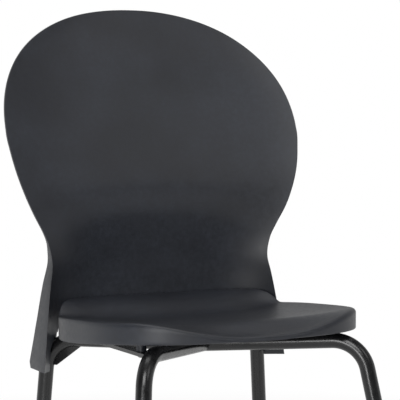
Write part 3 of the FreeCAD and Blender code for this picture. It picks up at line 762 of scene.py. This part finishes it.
# what reflections see: paler at the horizon than overhead, and darker on the camera's side of the room
worldLook = {"ambient": 0.42, "horizon": 0.78, "overhead": 0.25, "horizonTo": 0.1, "overheadFrom": 0.7,
             "roomSide": 0.3, "roomTo": -0.35, "backdropFrom": 0.25}
lamps = {
    "key": {"from": (-1.2, -2.1, 2.2), "size": 1.5, "watts": 46},
    "side": {"from": (-1.9, -1.85, 0.6), "size": 0.8, "watts": 22},
    "top": {"from": (0.2, 0.3, 2.9), "size": 1.8, "watts": 20},
    "fill": {"from": (1.3, -2.3, 2.4), "size": 1.2, "watts": 9},
}


def makeFloor():
    s = floorLook
    clearSelection()
    bpy.ops.mesh.primitive_circle_add(vertices=s["sides"], radius=s["radius"], fill_type="NGON",
                                      location=(0, 0, 0))
    floor = newest("floor")
    material, tree = newMaterial("pale floor")
    path = addNode(tree, "ShaderNodeLightPath")
    coords = addNode(tree, "ShaderNodeTexCoord")
    distance = addNode(tree, "ShaderNodeVectorMath", {"operation": "LENGTH"}, {0: (coords, "Object")})
    far = addNode(tree, "ShaderNodeMapRange",
                  {"From Min": s["shadowTo"], "From Max": s["whiteFrom"], "To Min": s["nearWhite"],
                   "To Max": 1.0},
                  {"Value": (distance, "Value")})
    seen = addNode(tree, "ShaderNodeMath", {"operation": "MAXIMUM"},
                   {0: (path, "Is Camera Ray"), 1: (path, "Is Glossy Ray")})
    factor = addNode(tree, "ShaderNodeMath", {"operation": "MULTIPLY"}, {0: (seen, 0), 1: (far, "Result")})
    dust = addNode(tree, "ShaderNodeTexNoise", {"Scale": s["dust"], "Detail": 4.0},
                   {"Vector": (coords, "Object")})
    tone = addNode(tree, "ShaderNodeValToRGB", links={"Fac": (dust, "Fac")},
                   stops=[(0.3, linear(s["dark"])), (0.7, linear(s["light"]))])
    matte = addNode(tree, "ShaderNodeBsdfDiffuse", links={"Color": (tone, "Color")})
    glow = addNode(tree, "ShaderNodeEmission", {"Color": (1, 1, 1, 1), "Strength": 1.0})
    mixed = addNode(tree, "ShaderNodeMixShader", links={0: (factor, 0), 1: (matte, 0), 2: (glow, 0)})
    addNode(tree, "ShaderNodeOutputMaterial", links={"Surface": (mixed, 0)})
    floor.data.materials.append(material)


def makeWorld():
    s = worldLook
    world = bpy.data.worlds.new("studio")
    bpy.context.scene.world = world
    world.use_nodes = True
    tree = world.node_tree
    tree.nodes.clear()
    path = addNode(tree, "ShaderNodeLightPath")
    coords = addNode(tree, "ShaderNodeTexCoord")
    split = addNode(tree, "ShaderNodeSeparateXYZ", links={0: (coords, "Generated")})
    overhead = addNode(tree, "ShaderNodeMapRange",
                       {"From Min": s["horizonTo"], "From Max": s["overheadFrom"],
                        "To Min": s["horizon"], "To Max": s["overhead"]},
                       {"Value": (split, "Z")})
    heading = math.radians(photoCamera["heading"])
    toBackdrop = addNode(tree, "ShaderNodeVectorMath",
                         {"operation": "DOT_PRODUCT", 1: (math.sin(heading), math.cos(heading), 0)},
                         {0: (coords, "Generated")})
    roomSide = addNode(tree, "ShaderNodeMapRange",
                       {"From Min": s["roomTo"], "From Max": s["backdropFrom"], "To Min": s["roomSide"],
                        "To Max": 1.0},
                       {"Value": (toBackdrop, "Value")})
    mirrored = addNode(tree, "ShaderNodeMath", {"operation": "MULTIPLY"},
                       {0: (overhead, 0), 1: (roomSide, 0)})
    reflected = addNode(tree, "ShaderNodeMath", {"operation": "MAXIMUM"},
                        {0: (path, "Is Glossy Ray"), 1: (path, "Is Transmission Ray")})
    around = addNode(tree, "ShaderNodeMix", {2: s["ambient"]}, {0: (reflected, 0), 3: (mirrored, 0)})
    strength = addNode(tree, "ShaderNodeMix", {3: 1.0}, {0: (path, "Is Camera Ray"), 2: (around, 0)})
    white = addNode(tree, "ShaderNodeBackground", {"Color": (1, 1, 1, 1)}, {"Strength": (strength, 0)})
    addNode(tree, "ShaderNodeOutputWorld", links={"Surface": (white, 0)})


def makeLamps():
    for name, lamp in lamps.items():
        clearSelection()
        aim = Vector((0, 0, 0.5)) - Vector(lamp["from"])
        bpy.ops.object.light_add(type="AREA", location=lamp["from"],
                                 rotation=aim.to_track_quat("-Z", "Y").to_euler())
        light = newest(name)
        light.data.shape = "SQUARE"
        light.data.size = lamp["size"]
        light.data.energy = lamp["watts"]


def makeCamera():
    clearSelection()
    bpy.ops.object.camera_add(
        location=photoCamera["from"],
        rotation=(math.radians(90 - photoCamera["down"]), 0, -math.radians(photoCamera["heading"])))
    camera = newest("camera")
    camera.data.lens = photoCamera["lens"]
    camera.data.sensor_width = 36
    camera.data.clip_start, camera.data.clip_end = 0.05, 50
    bpy.context.scene.camera = camera


makeFloor()
makeWorld()
makeLamps()
makeCamera()
bpy.context.scene.view_settings.view_transform = "Standard"
print("studio ready")
